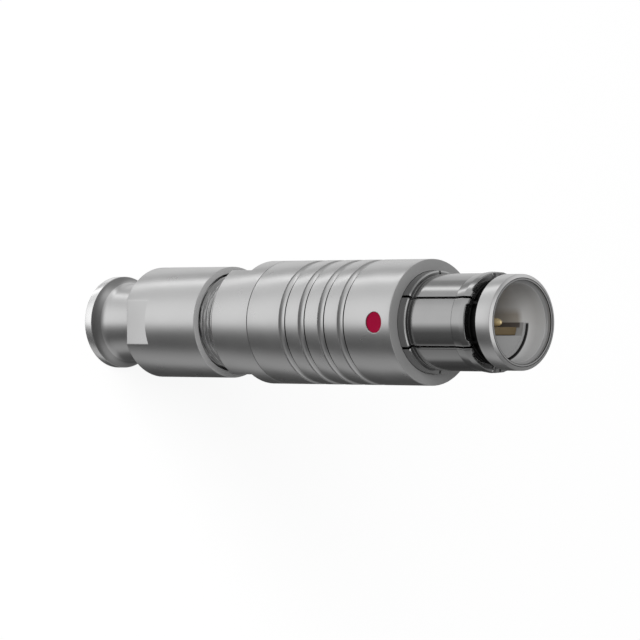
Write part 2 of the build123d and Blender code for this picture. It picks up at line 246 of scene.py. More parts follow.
def newFinish(name, **fixed):
    # A material with a Principled shader, and the constant inputs set on its own sockets.
    material = bpy.data.materials.new(name)
    material.use_nodes = True
    tree = material.node_tree
    tree.nodes.clear()
    shader = addNode(tree, "ShaderNodeBsdfPrincipled", fixed)
    output = addNode(tree, "ShaderNodeOutputMaterial")
    tree.links.new(shader.outputs[0], output.inputs[0])
    return material, tree, shader


def objectPlace(tree):
    return addNode(tree, "ShaderNodeTexCoord").outputs["Object"]


def mottle(tree, place, size, detail=3.0):
    # Soft noise between 0 and 1, in patches of a given size.
    inputs = {"Vector": place, "Scale": 1 / (size * toMetres), "Detail": detail}
    return addNode(tree, "ShaderNodeTexNoise", inputs).outputs["Fac"]


def between(tree, value, lowest, highest, start=0.3, end=0.7):
    # A value that runs from the lowest to the highest while the given one runs from start to end.
    return addNode(tree, "ShaderNodeMapRange", {0: value, 1: start, 2: end, 3: lowest, 4: highest}).outputs[0]


def blended(tree, share, first, second):
    return addNode(tree, "ShaderNodeMix", {0: share, 2: first, 3: second}, data_type="FLOAT").outputs[0]


def combined(tree, operation, first, second):
    return addNode(tree, "ShaderNodeMath", {0: first, 1: second}, operation=operation).outputs[0]


def paint(tone):
    # One number is a grey, three are a colour, and a linked tone stays as it is.
    return tone if isinstance(tone, bpy.types.NodeSocket) else (*np.broadcast_to(tone, 3).tolist(), 1)


def tinted(tree, share, dark, pale):
    # A colour between two, by a share from 0 to 1.
    inputs = {0: share, 6: paint(dark), 7: paint(pale)}
    return addNode(tree, "ShaderNodeMix", inputs, data_type="RGBA").outputs[2]


def roundPlace(tree, place):
    # The distance from the axis, sqrt(x^2 + y^2), the height, and x.
    parts = addNode(tree, "ShaderNodeSeparateXYZ", {0: place}).outputs
    flat = addNode(tree, "ShaderNodeCombineXYZ", {0: parts[0], 1: parts[1]}).outputs[0]
    reach = addNode(tree, "ShaderNodeVectorMath", {0: flat}, operation="LENGTH").outputs["Value"]
    return reach, parts[2], parts[0]


def insideZone(tree, where, zone):
    # 1 inside a zone's spans of radius, height and x, else 0: the product of a soft ramp at each end.
    soft = zone["soft"] * toMetres
    spans = zone["radii"], zone["heights"], zone.get("across", everywhere)
    inside = None
    for value, span in zip(where, spans):
        for end, way in zip(span, (soft, -soft)):
            ramp = between(tree, value, 0.0, 1.0, end * toMetres - way, end * toMetres + way)
            inside = combined(tree, "MULTIPLY", inside, ramp) if inside else ramp
    return inside


def addRelief(tree, shader, height, strength, depth):
    inputs = {"Strength": strength, "Distance": depth * toMetres, "Height": height}
    tree.links.new(addNode(tree, "ShaderNodeBump", inputs).outputs[0], shader.inputs["Normal"])


def metalFinish(name, look, *zones):
    # Plated metal: patches of slightly different tone and gloss, over turning marks, a noise that depends only
    # on the radius and the height. A zone has its own tone and gloss, and is less metallic where it is matt.
    metallic = look.get("metallic", 1.0)
    material, tree, shader = newFinish(name, **{"Metallic": metallic})
    place = objectPlace(tree)
    patches = mottle(tree, place, look["patch"])
    tone = tinted(tree, patches, look["dark"], look["pale"])
    gloss = between(tree, patches, look["smooth"], look["rough"])
    where = roundPlace(tree, place)
    lathe = addNode(tree, "ShaderNodeCombineXYZ", {0: where[0], 2: where[1]}).outputs[0]
    # Zones lay their own tone over the patches; several of them are painted shade, highlight or reflection.
    for zone in zones:
        inside = insideZone(tree, where, zone)
        tone = tinted(tree, inside, tone, tinted(tree, patches, zone["dark"], zone["pale"]))
        gloss = blended(tree, inside, gloss, zone["roughness"])
        metallic = blended(tree, inside, metallic, zone.get("metallic", 1.0))
        tree.links.new(metallic, shader.inputs["Metallic"])
    tree.links.new(tone, shader.inputs["Base Color"])
    tree.links.new(gloss, shader.inputs["Roughness"])
    marks = mottle(tree, lathe, look["markPitch"], detail=2.0)
    addRelief(tree, shader, marks, look["markStrength"], look["markDepth"])
    return material


def plasticFinish(name, look, **fixed):
    # Moulded material: a fine grain in its tone, its gloss and its surface.
    material, tree, shader = newFinish(name, **fixed)
    place = objectPlace(tree)
    patches = mottle(tree, place, look["patch"])
    tree.links.new(tinted(tree, patches, look["dark"], look["pale"]), shader.inputs["Base Color"])
    tree.links.new(between(tree, patches, look["smooth"], look["rough"]), shader.inputs["Roughness"])
    addRelief(tree, shader, mottle(tree, place, look["grain"]), look["grainStrength"], look["grainDepth"])
    return material


satinLook = {
    "dark": 0.64, "pale": 0.68, "smooth": 0.27, "rough": 0.31, "patch": 2.5, "markPitch": 0.06,
    "markStrength": 0.2, "markDepth": 0.003,
}
brightLook = {
    "dark": 0.64, "pale": 0.69, "smooth": 0.28, "rough": 0.32, "patch": 2.0, "markPitch": 0.05,
    "markStrength": 0.1, "markDepth": 0.002,
}
satinNickel = metalFinish("satinNickel", satinLook)
darkNickel = metalFinish("darkNickel", {
    **brightLook, "dark": 0.39, "pale": 0.43, "smooth": 0.12, "rough": 0.15, "markStrength": 0.08,
})
brightNickel = metalFinish("brightNickel", brightLook)
threadNickel = metalFinish("threadNickel", {**brightLook, "smooth": 0.12, "rough": 0.16})
nutNickel = metalFinish("nutNickel", satinLook, {  # the nut's rear rim is painted near white, a painted highlight
    "radii": (4.5, 4.7), "heights": (-1, 0.93), "soft": 0.02, "dark": 0.96, "pale": 1, "roughness": 0.25,
}, {  # the hollow in front of it is painted darker, as painted shade
    "radii": (4.0, 4.57), "heights": (0.97, 2.2), "soft": 0.02, "dark": 0.42, "pale": 0.46, "roughness": 0.3,
}, {  # and its front face is blasted matt
    "radii": (4.7, 5.46), "heights": (16.85, 17), "soft": 0.01, "dark": 0.44, "pale": 0.48, "roughness": 0.4,
    "metallic": 0.3,
})
sleeveNickel = metalFinish("sleeveNickel", satinLook, {  # the sleeve's front face is blasted matt
    "radii": (4.9, 5.97), "heights": (43.9, 44.2), "soft": 0.02, "dark": 0.3, "pale": 0.34, "roughness": 0.4,
    "metallic": 0.3,
}, {  # and the slits of the grooves are painted dark, as painted shade
    "radii": (5.55, 5.79), "heights": (28, 39.5), "soft": 0.005, "dark": 0.2, "pale": 0.24, "roughness": 0.3,
})
noseNickel = metalFinish("noseNickel", brightLook, {  # the bore of the nose is blasted matt
    "radii": (0, 3.95), "heights": (40, 60), "soft": 0.01, "dark": 0.5, "pale": 0.54, "roughness": 0.35,
    "metallic": 0.3,
}, {  # and is painted paler deep inside, as painted light
    "radii": (0, 3.84), "heights": (30, 53), "soft": 0.9, "dark": 0.84, "pale": 0.9, "roughness": 0.35,
    "metallic": 0.2,
}, {  # a painted brown reflection of the insulator on the bore near its foot
    "radii": (0, 3.84), "heights": (44, 51.8), "across": (-1.1, 1.2), "soft": 0.35,
    "dark": (0.29, 0.245, 0.185), "pale": (0.33, 0.28, 0.21), "roughness": 0.4, "metallic": 0.2,
}, {  # painted shade on the bore round the half shell
    "radii": (0, 3.84), "heights": (44, 52.84), "across": (0.06, 9), "soft": 0.06, "dark": 0.02, "pale": 0.03,
    "roughness": 0.5, "metallic": 0.2,
}, {  # and painted shade on the neck behind the front ring
    "radii": (3.78, 4.3), "heights": (51, 53.56), "soft": 0.01, "dark": 0.04, "pale": 0.06, "roughness": 0.4,
}, {  # the throat is painted darker than the ring round it, as painted shade
    "radii": (3.72, 3.95), "heights": (54.9, 56.35), "soft": 0.02, "dark": 0.36, "pale": 0.4,
    "roughness": 0.3, "metallic": 0.6,
}, {  # two painted shade lines on the front face, in its groove and at the throat's edge
    "radii": (4.1, 4.16), "heights": (55.3, 56), "soft": 0.004, "dark": 0.03, "pale": 0.04, "roughness": 0.4,
}, {
    "radii": (3.88, 3.95), "heights": (55.4, 56), "soft": 0.004, "dark": 0.06, "pale": 0.08, "roughness": 0.4,
})
shellGrey = metalFinish("shellGrey", {
    **brightLook, "dark": 0.32, "pale": 0.35, "smooth": 0.43, "rough": 0.47, "patch": 1.5, "metallic": 0.3,
}, {  # beside the pins its wall has a painted reflection of the brown insulator
    "radii": (3.1, 3.25), "heights": (44, 52.2), "across": (-0.2, 0.5), "soft": 0.08,
    "dark": (0.06, 0.048, 0.04), "pale": (0.08, 0.064, 0.05), "roughness": 0.45, "metallic": 0.2,
})
plainBrass = metalFinish("plainBrass", {
    **brightLook, "dark": (0.56, 0.4, 0.17), "pale": (0.64, 0.48, 0.22), "smooth": 0.3, "rough": 0.4,
    "patch": 1.5, "markStrength": 0.3, "markDepth": 0.004,
})
contactGold = metalFinish("contactGold", {
    **brightLook, "dark": (0.86, 0.66, 0.33), "pale": (0.92, 0.74, 0.42), "smooth": 0.26, "rough": 0.32,
    "patch": 0.8, "markPitch": 0.04,
}, {  # the pins' tips are paler, glossier and less metallic
    "radii": (0, 2), "heights": (51, 53), "soft": 0.1, "dark": (0.95, 0.75, 0.4), "pale": (1, 0.82, 0.48),
    "roughness": 0.22, "metallic": 0.6,
})
insertBrown = plasticFinish("insertBrown", {
    "dark": (0.13, 0.096, 0.05), "pale": (0.165, 0.122, 0.064), "smooth": 0.42, "rough": 0.55, "patch": 0.6,
    "grain": 0.06, "grainStrength": 0.3, "grainDepth": 0.004,
}, **{"Specular IOR Level": 0.45})
dotEnamel = plasticFinish("dotEnamel", {
    "dark": (0.235, 0.003, 0.024), "pale": (0.285, 0.005, 0.036), "smooth": 0.3, "rough": 0.4, "patch": 0.5,
    "grain": 0.2, "grainStrength": 0.1, "grainDepth": 0.003,
}, **{"Specular IOR Level": 0.02})
sealRubber = plasticFinish("sealRubber", {
    "dark": 0.016, "pale": 0.026, "smooth": 0.6, "rough": 0.75, "patch": 1.0, "grain": 0.05,
    "grainStrength": 0.5, "grainDepth": 0.006,
}, **{"Specular IOR Level": 0.4})
finishes = {
    "satin_nickel": satinNickel, "dark_nickel": darkNickel, "bright_nickel": brightNickel,
    "shell_grey": shellGrey, "insert_brown": insertBrown, "contact_gold": contactGold,
    "dot_crimson": dotEnamel, "seal_rubber": sealRubber, "plain_brass": plainBrass,
}
for part in frame["record"]["subparts"]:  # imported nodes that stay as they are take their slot's finish
    mesh = frame["nodes"][part["node"]].data
    mesh.materials.clear()
    mesh.materials.append(finishes[part["material_slot"]])
print("finishes made")

# The screw thread that the nut and the housing share

thread = {"pitch": 0.5, "crest": 4.63, "root": 4.37, "flatShare": 0.16}


def threadRadius(t, h):
    # A right-hand thread: in one pitch the radius climbs from the root to the crest and back in straight
    # flanks, and the pattern moves up one pitch a turn, so it depends on h / pitch - t / (2 pi) alone.
    along = np.mod(h / thread["pitch"] - t / (2 * pi), 1)
    flank = (np.abs(2 * along - 1) - thread["flatShare"]) / (1 - 2 * thread["flatShare"])
    return thread["root"] + (thread["crest"] - thread["root"]) * np.clip(flank, 0, 1)


def easing(value, start, end):
    return np.clip((value - start) / (end - start), 0, 1)  # 0 before start, 1 after end, straight between


# The wrench flats of the nut and of the end ring, and the keyed sides of the housing and of the end ring

flatEnd = {"before": 0.05, "rise": 0.02, "after": 0.06}  # rows beside a flat's end, where its floor rises


def flatRows(radius, top):
    return [(radius, top + h, 0) for h in (-flatEnd["before"], 0, flatEnd["rise"], flatEnd["after"])]


def flatDepth(t, distance, side, radius, blend=0.015, smallest=0.05):
    # How far two parallel flats cut into a circle: the radius less a soft minimum of the radius and of the
    # distance of the flat divided by the cosine of the angle from its middle.
    plane = distance / np.maximum(np.abs(np.cos(t - side)), smallest)
    return radius - (radius + plane - np.sqrt((radius - plane) ** 2 + blend**2)) / 2


def flatShare(r, h, inside, outside, top):
    # 1 on a flat: it fades in with the radius over the face behind it, and out with the height at its end.
    return easing(r, inside, outside) * (1 - easing(h, top, top + flatEnd["rise"]))


def keyedStretch(t, halfAngle, height):
    # Where a flat at a height on the +Y side lies, and its radius, height / cos(angle from +Y).
    away = (t - pi / 2 + pi) % (2 * pi) - pi
    return np.abs(away) < halfAngle, height / np.cos(np.clip(away, -halfAngle, halfAngle))


def keyedAngles(halfAngle):
    return [pi / 2 + side * (halfAngle + n) for side in (-1, 1) for n in (-hair, hair)]


def flatAngles(distance, radius, side):
    edge = acos(distance / radius)  # the four edges of two flats, with columns close beside them
    near = np.radians((-1.2, -0.5, -0.2, 0, 0.2, 0.5, 1.2))
    return [side + turn + way * edge + n for turn in (0, pi) for way in (-1, 1) for n in near]


# The back nut: flange, neck, a body with two flats, the gland pocket and the thread in its bore

backNut = {
    "flangeRadius": 4.6, "flangeThickness": 0.96, "flangeEdgeDrop": 0.05, "neckRadius": 3.85,
    "neckArcLength": 1.55, "arcPoints": 12, "bodyStart": 6.7, "bodyRadius": 5.48, "flatDistance": 5.02,
    "flatLength": 3.13, "flatInside": 4.9, "boreRadius": 2.75, "boreEdge": 0.12, "pocketFloor": 7.4,
    "pocketTop": 10.3, "pocketRadius": 4.15, "mouthRadius": 4.82, "mouthChamfer": 0.06, "threadStart": 10.9,
    "threadEnd": 16.4, "threadClearance": 0.04, "threadFade": 0.3, "rowsPerPitch": 10, "edge": 0.06,
    "fineEdge": 0.03, "columns": 216,
}


def makeBackNut():
    d = named(**backNut)
    front = high("back_nut")[2]
    rise = d.flangeRadius - d.flangeEdgeDrop - d.neckRadius
    bend = (d.neckArcLength**2 + rise**2) / (2 * rise)
    arcFoot = d.flangeThickness + d.neckArcLength
    angles = np.linspace(asin(d.neckArcLength / bend), 0, d.arcPoints)
    # the hollow in front of the flange is an arc: r = neck + bend (1 - cos a), h = foot - bend sin a
    arc = [(d.neckRadius + bend * (1 - cos(a)), arcFoot - bend * sin(a), 0) for a in angles]
    start, flatTop, fine = d.bodyStart, d.bodyStart + d.flatLength, d.fineEdge
    rows = int(d.rowsPerPitch * (d.threadEnd - d.threadStart) / thread["pitch"])
    body, mouth = d.bodyRadius, d.mouthRadius
    corners = [
        (d.boreRadius, 0, d.boreEdge), (d.flangeRadius, 0, d.edge), (d.flangeRadius, d.flangeThickness, fine),
        *arc, (d.neckRadius, start, fine), (d.flatInside, start, 0), (body, start, d.edge),
        *flatRows(body, flatTop), (body, front, d.edge), (mouth + d.mouthChamfer, front, 0),
        (mouth, front - d.mouthChamfer, 0), (mouth, d.threadEnd, 0),
        *steps(mouth, d.threadEnd, d.threadStart, rows), (mouth, d.threadStart, 0),
        (mouth, d.pocketTop, fine), (d.pocketRadius, d.pocketTop, fine),
        (d.pocketRadius, d.pocketFloor, fine), (d.boreRadius, d.pocketFloor, fine),
    ]

    def shape(t, r, h):
        # The flats take their depth off the body, and the bore takes the thread's radius and a clearance.
        onFlat = flatShare(r, h, d.flatInside, body - d.edge, flatTop) * (h > start + beside[0])
        fade = easing(h, d.threadStart, d.threadStart + d.threadFade) * (np.abs(r - mouth) < hair)
        fade = fade * (1 - easing(h, d.threadEnd - d.threadFade, d.threadEnd))
        cut = threadRadius(t, h) + d.threadClearance - r
        return r - flatDepth(t, d.flatDistance, pi / 2, body) * onFlat + cut * fade, h

    columns = ring(d.columns, flatAngles(d.flatDistance, body, pi / 2))
    nut = turned(roundCorners(corners), columns, shape)
    addPiece("backNut", nut, nutNickel, "satin_nickel", "nut", "back_nut")


makeBackNut()

# The gland seal, with soft lips in its bore, and the washer in front of it

glandSeal = {
    "outer": 4.1, "bore": 2.55, "lipDepth": 0.12, "lips": 3, "rowsPerLip": 12, "margin": 0.03,
    "lipEdge": 0.05, "edge": 0.18, "columns": 128,
}
glandWasher = {"outer": 4.1, "bore": 2.95, "edge": 0.08, "columns": 128}


def makeGland():
    d = named(**glandSeal)
    rear, front = ends("cable_seal")
    # between its ends the bore is a wave: r = bore + depth (1 + cos(2 pi lips s)) / 2, bore at a lip
    s = np.linspace(1 - d.margin, d.margin, d.rowsPerLip * d.lips)
    radii = d.bore + d.lipDepth * (1 + np.cos(2 * pi * d.lips * s)) / 2
    wave = [(r, rear + (front - rear) * a, 0) for r, a in zip(radii, s)]
    outer, edge, lipEdge = d.outer, d.edge, d.lipEdge
    mouth = d.bore + d.lipDepth + lipEdge
    corners = [(mouth, rear, lipEdge), (outer, rear, edge), (outer, front, edge), (mouth, front, lipEdge)]
    seal = turned(roundCorners(corners + wave), ring(d.columns))
    addPiece("glandSeal", seal, sealRubber, "seal_rubber", "gland", "cable_seal")
    d = named(**glandWasher)
    rear, front = ends("pressure_washer")
    around = (d.bore, rear), (d.outer, rear), (d.outer, front), (d.bore, front)
    washer = turned(roundCorners([(*place, d.edge) for place in around]), ring(d.columns))
    addPiece("glandWasher", washer, plainBrass, "plain_brass", "gland", "pressure_washer")


makeGland()

# The rear housing: male thread, guide with a pocket for the key, stop flange, seat of the nose tube

rearHousing = {
    "bore": 4.15, "threadRadius": 4.75, "threadLength": 7.5, "leadIn": 0.3, "threadFade": 0.2,
    "stopFlangeRear": 26.43, "stopFlangeFront": 26.93, "stopFlangeRadius": 5.2, "guideRadius": 4.95,
    "seatRadius": 4.38, "seatDepth": 0.6, "tubeSeat": 4.0, "tubeSeatLength": 4.0, "reliefRadius": 4.36,
    "reliefLength": 0.35, "reliefRear": 0.1, "reliefFront": 0.2, "reliefEdge": 0.04, "keyHalfWidth": 0.6,
    "keyFoot": 4.35, "keyRear": 22.01, "keyFront": 24.01, "rowsPerPitch": 16, "edge": 0.05, "columns": 216,
}


def makeRearHousing():
    d = named(**rearHousing)
    rear, front = ends("rear_housing")
    outer, cut, edge = d.threadRadius, thread["crest"], d.edge
    threadStart, runOut = rear + d.leadIn, rear + d.threadLength
    relief, reliefEnd, reliefEdge = d.reliefRadius, runOut + d.reliefLength, d.reliefEdge
    rows = int(d.rowsPerPitch * d.threadLength / thread["pitch"])
    seat, tubeEnd = front - d.seatDepth, front - d.tubeSeatLength
    corners = [
        (d.bore, rear, edge), (relief, rear, 0), (cut, threadStart, 0),
        *steps(cut, threadStart, runOut, rows), (cut, runOut, 0), (relief, runOut + d.reliefRear, reliefEdge),
        (relief, reliefEnd, 2 * reliefEdge), (outer, reliefEnd + d.reliefFront, reliefEdge),
        *[(outer, d.keyRear + n, 0) for n in beside], *[(outer, d.keyFront + n, 0) for n in beside],
        (outer, d.stopFlangeRear, edge), (d.stopFlangeRadius, d.stopFlangeRear, edge),
        (d.stopFlangeRadius, d.stopFlangeFront, edge), (d.guideRadius, d.stopFlangeFront, edge),
        (d.guideRadius, front, edge), (d.seatRadius, front, edge), (d.seatRadius, seat, edge),
        (d.tubeSeat, seat, 0), (d.tubeSeat, tubeEnd, 0), (d.bore, tubeEnd, 0),
    ]
    keyAngle = asin(d.keyHalfWidth / outer)

    def shape(t, r, h):
        # The thread stands in for the plain radius along its length, and the key's pocket has a flat floor at
        # keyFoot / cos(angle from +Y).
        onThread = (h < runOut - hair) & (np.abs(r - cut) < hair)
        fade = easing(h, threadStart, threadStart + d.threadFade) * onThread
        keyed, floor = keyedStretch(t, keyAngle, d.keyFoot)
        inPocket = keyed & (h > d.keyRear) & (h < d.keyFront) & (np.abs(r - outer) < hair)
        return np.where(inPocket, floor, r + (threadRadius(t, h) - r) * fade), h

    housing = turned(roundCorners(corners), ring(d.columns, keyedAngles(keyAngle)), shape)
    addPiece("rearHousing", housing, threadNickel, "bright_nickel", "housing", "rear_housing")


makeRearHousing()

# The key in the housing's pocket, which keeps the sleeve from turning

guideKey = {"foot": 4.37, "top": 5.2, "footHalfWidth": 0.54, "topHalfWidth": 0.6, "edge": 0.05, "points": 9}


def makeGuideKey():
    d = named(**guideKey)
    # the outline is a flat foot, two sides that lean outwards and a top on a circle, y = sqrt(top^2 - x^2)
    x = np.linspace(d.topHalfWidth, -d.topHalfWidth, d.points)
    foot = ((-d.footHalfWidth, d.foot), (d.footHalfWidth, d.foot))
    outline = np.concatenate((foot, np.stack((x, np.sqrt(d.top**2 - x**2)), 1)))
    key = bar(outline, *ends("guide_key"), d.edge, d.edge)
    addPiece("guideKey", key, brightNickel, "bright_nickel", "housing", "guide_key")


makeGuideKey()

# The end ring of the sleeve: two wrench flats, a keyway, and the spigot that holds it in the sleeve

endRing = {
    "bore": 4.8, "flatDistance": 5.08, "flatLength": 2.78, "flatInside": 4.95, "bodyLength": 4.97,
    "spigotRadius": 5.28, "spigotSkin": 0.005, "spigotStart": 0.1, "keywayHalfWidth": 0.65, "keywayTop": 5.32,
    "keywayRear": 20.61, "edge": 0.07, "seamEdge": 0.03, "seamGap": 0.06, "boreChamfer": 0.12, "columns": 216,
}


def makeEndRing():
    d = named(**endRing)
    rear, front = ends("sleeve_end_ring")
    outer, bore = high("sleeve_end_ring")[1], d.bore
    seam, flatTop = rear + d.bodyLength, rear + d.flatLength
    corners = [
        (bore + d.boreChamfer, rear, d.seamEdge), (d.flatInside, rear, 0), (outer, rear, d.edge),
        *flatRows(outer, flatTop), (outer, seam - d.seamGap, d.seamEdge),
        (d.spigotRadius, seam - d.seamGap, 0), (d.spigotRadius, front, 0), (bore, front, 0),
        *[(bore, d.keywayRear - n, 0) for n in beside], (bore, rear + d.boreChamfer, 0),
    ]
    keyAngle = asin(d.keywayHalfWidth / bore)

    def shape(t, r, h):
        # The flats take their depth off the outside. The keyway lifts the bore to keywayTop / cos(angle from
        # +Y), and under the spigot only to a thin skin.
        onFlat = flatShare(r, h, d.flatInside, outer - d.edge, flatTop)
        keyed, top = keyedStretch(t, keyAngle, d.keywayTop)
        inKeyway = keyed & (h > d.keywayRear) & (np.abs(r - bore) < hair)
        underSpigot = np.minimum(top, d.spigotRadius - d.spigotSkin)
        top = np.where(h > seam - d.spigotStart, underSpigot, top)
        return np.where(inKeyway, top, r - flatDepth(t, d.flatDistance, 0, outer) * onFlat), h

    columns = ring(d.columns, flatAngles(d.flatDistance, outer, 0) + keyedAngles(keyAngle))
    solid = turned(roundCorners(corners), columns, shape)
    addPiece("endRing", solid, satinNickel, "satin_nickel", "release", "sleeve_end_ring")


makeEndRing()

# The release sleeve: four round grip grooves, and the pocket of the index dot on the -Y side

releaseSleeve = {
    "bore": 5.3, "mouth": 4.93, "mouthLip": 4.9, "mouthLipLength": 0.2, "mouthLength": 5.03,
    "frontChamfer": 0.05, "chamferEdge": 0.02, "firstGroove": 4.83, "groovePitch": 2.624, "grooves": 4,
    "grooveWidth": 0.92, "grooveDepth": 0.33, "grooveEdge": 0.02, "floorShare": 0.6, "arcShare": 0.5,
    "arcPoints": 9, "slitStart": 0.64, "slitSlope": 0.04, "clipRear": 28.28, "clipFront": 28.88,
    "clipSeat": 5.5, "seamEdge": 0.03, "columns": 240, "patchColumns": 8, "patchRows": 12,
    "patchHalfHeight": 1.25, "patchRings": 5,
}
indexDot = {
    "fromFront": 2.06, "pocketRadius": 1.0, "pocketFloor": 5.65, "rim": 0.05, "radius": 0.98,
    "meniscus": 0.05, "edgeShare": 0.99, "points": 14, "columns": 96, "rimAngles": (22.5, 45, 67.5, 90),
    "floorRings": (1, 0.5),
}


def grooveCorners(radius, start):
    # A grip groove: a side that rounds off into a floor at a share of the depth, on a quarter ellipse, and
    # then a narrow slit of the full depth beside the other rim.
    d = named(**releaseSleeve)
    width, depth, edge = d.grooveWidth, d.grooveDepth, d.grooveEdge
    drop, length, floor = d.floorShare * depth, d.arcShare * width, radius - depth
    slitStart, slope = start + d.slitStart * width, d.slitSlope * width
    angles = np.linspace(0, pi / 2, d.arcPoints)[1:]
    arc = [(radius - drop * sin(a), start + length * (1 - cos(a)), 0) for a in angles]
    slit = [(radius - drop, slitStart, 0), (floor, slitStart + slope, 0), (floor, start + width - slope, 0)]
    return [(radius, start, edge), *arc, *slit, (radius, start + width, edge)]


def makeReleaseSleeve():
    d, dot = named(**releaseSleeve), named(**indexDot)
    rear, front = ends("release_sleeve")
    outer = high("release_sleeve")[0]
    chamfer, bore, mouth, clipSeat = d.frontChamfer, d.bore, d.mouth, d.clipSeat
    grooves = []
    for n in range(d.grooves):
        grooves += grooveCorners(outer, rear + d.firstGroove + n * d.groovePitch - d.grooveWidth / 2)
    dotHeight = front - dot.fromFront
    half = d.patchHalfHeight
    patchHeights = np.linspace(dotHeight - half, dotHeight + half, d.patchRows + 1)
    outline = roundCorners([
        (bore, rear, 0), (outer, rear, d.seamEdge), *grooves, *[(outer, h, 0) for h in patchHeights],
        (outer, front - chamfer, d.chamferEdge), (outer - chamfer, front, d.chamferEdge),
        (d.mouthLip, front, d.chamferEdge / 2), (mouth, front - d.mouthLipLength, 0),
        (mouth, front - d.mouthLength, 0), (bore, front - d.mouthLength, 0), (bore, d.clipFront, 0),
        (clipSeat, d.clipFront, 0), (clipSeat, d.clipRear, 0), (bore, d.clipRear, 0),
    ])
    points, (quads,) = turned(outline, ring(d.columns))
    # The pocket: the cells of a window round the dot make room for rings of points. They lie on the cylinder,
    # y = -sqrt(R^2 - x^2), from the window's edge to a circle in x and z, and then go down the pocket's wall.
    firstRow = int(np.argmin(np.abs(outline[:, 1] - patchHeights[0]) + np.abs(outline[:, 0] - outer)))
    i = np.arange(firstRow, firstRow + d.patchRows + 1)
    middleColumn = 3 * d.columns // 4
    j = np.arange(middleColumn - d.patchColumns, middleColumn + d.patchColumns + 1)
    cells = np.arange(len(quads)).reshape(len(outline), d.columns)
    quads = np.delete(quads, cells[np.ix_(i[:-1], j[:-1])].ravel(), 0)
    loop = np.concatenate((i[0] * d.columns + j[:-1], i[:-1] * d.columns + j[-1],
                           i[-1] * d.columns + j[:0:-1], i[:0:-1] * d.columns + j[0]))
    across = points[loop][:, (0, 2)] - (0, dotHeight)
    outward = across / np.linalg.norm(across, axis=1)[:, None]
    rimRadius = dot.pocketRadius + dot.rim
    rings = []
    for s in np.linspace(0, 1, d.patchRings + 1)[1:]:
        place = across * (1 - s) + outward * rimRadius * s
        rings.append((place, np.sqrt(outer**2 - place[:, 0] ** 2)))
    for a in np.radians(dot.rimAngles):
        place = outward * (rimRadius - dot.rim * sin(a))
        rings.append((place, np.sqrt(outer**2 - place[:, 0] ** 2) - dot.rim * (1 - cos(a))))
    for share in dot.floorRings:
        rings.append((outward * dot.pocketRadius * share, np.full(len(loop), dot.pocketFloor)))
    ringPoints = np.array([np.stack((p[:, 0], -reach, p[:, 1] + dotHeight), 1) for p, reach in rings])
    count = len(loop)
    index = np.concatenate((loop[None, :], len(points) + np.arange(len(rings) * count).reshape(-1, count)))
    following = np.roll(index, -1, 1)
    sides = np.stack((following[:-1], index[:-1], index[1:], following[1:]), -1).reshape(-1, 4)
    centre = len(points) + len(rings) * count
    fan = np.stack((following[-1], index[-1], np.full(count, centre)), -1)
    points = np.concatenate((points, ringPoints.reshape(-1, 3), ((0, -dot.pocketFloor, dotHeight),)))
    sleeve = points, [quads, sides, fan]
    addPiece("releaseSleeve", sleeve, sleeveNickel, "satin_nickel", "release", "release_sleeve")

    # The enamel: a disc about an axis along -Y, whose face rises by meniscus (r / radius)^4 to its edge.
    face, radius = -low("index_dot")[1], dot.radius
    r = np.linspace(radius * dot.edgeShare, 0, dot.points)
    top = face - dot.meniscus + dot.meniscus * (r / radius) ** 4
    profile = np.concatenate((((0, dot.pocketFloor), (radius, dot.pocketFloor)), np.stack((r, top), 1)))
    points, faces = spun(profile, ring(dot.columns))
    disc = np.stack((points[:, 0], -points[:, 2], points[:, 1] + dotHeight), 1)
    addPiece("indexDot", (disc, faces), dotEnamel, "dot_crimson", "release", "index_dot")


makeReleaseSleeve()

# The latch sleeve: a flange, a collar and six spring fingers with a tooth and a pocket at each tip

latchSleeve = {
    "bore": 4.1, "rearInside": 4.5, "tipInside": 4.2, "flangeRadius": 5.23, "flangeThickness": 0.8,
    "collarRadius": 4.88, "collarMiddle": 41.5, "collarFront": 44.93, "collarChamfer": (0.15, 0.06),
    "fingerRadius": 4.6, "fingerRows": 7, "grooveRadius": 4.42, "grooveLength": 0.55, "grooveEdge": 0.05,
    "lineDepth": 0.06, "lineLength": 0.04, "linePeak": 0.005, "toothStart": 50.63, "toothCrest": 51.75,
    "crestRadius": 4.74, "crestEdge": 0.1, "tipRadius": 4.68, "tipEdge": 0.08, "tipRows": (0.35, 0.6, 0.8),
    "slotStart": 43.6, "slotRise": 0.03, "fingers": 6, "slotWidth": 0.22, "slotEdge": 0.06, "pocketAt": 4.4,
    "pocketHalfWidth": 1.65, "pocketDepth": 0.25, "pocketCorner": 0.225, "edge": 0.04, "columns": 180,
    "rowGap": 1e-4,  # the least distance between rows of the inner skin
    # extra columns: from a slot's wall outwards, along a pocket's corner, and beside a pocket's wall
    "slotColumns": (0, 0.012, 0.03, 0.06), "cornerColumns": (0, 0.06, 0.12, 0.17, 0.205),
    "wallColumns": (-0.003, 0.005),
}


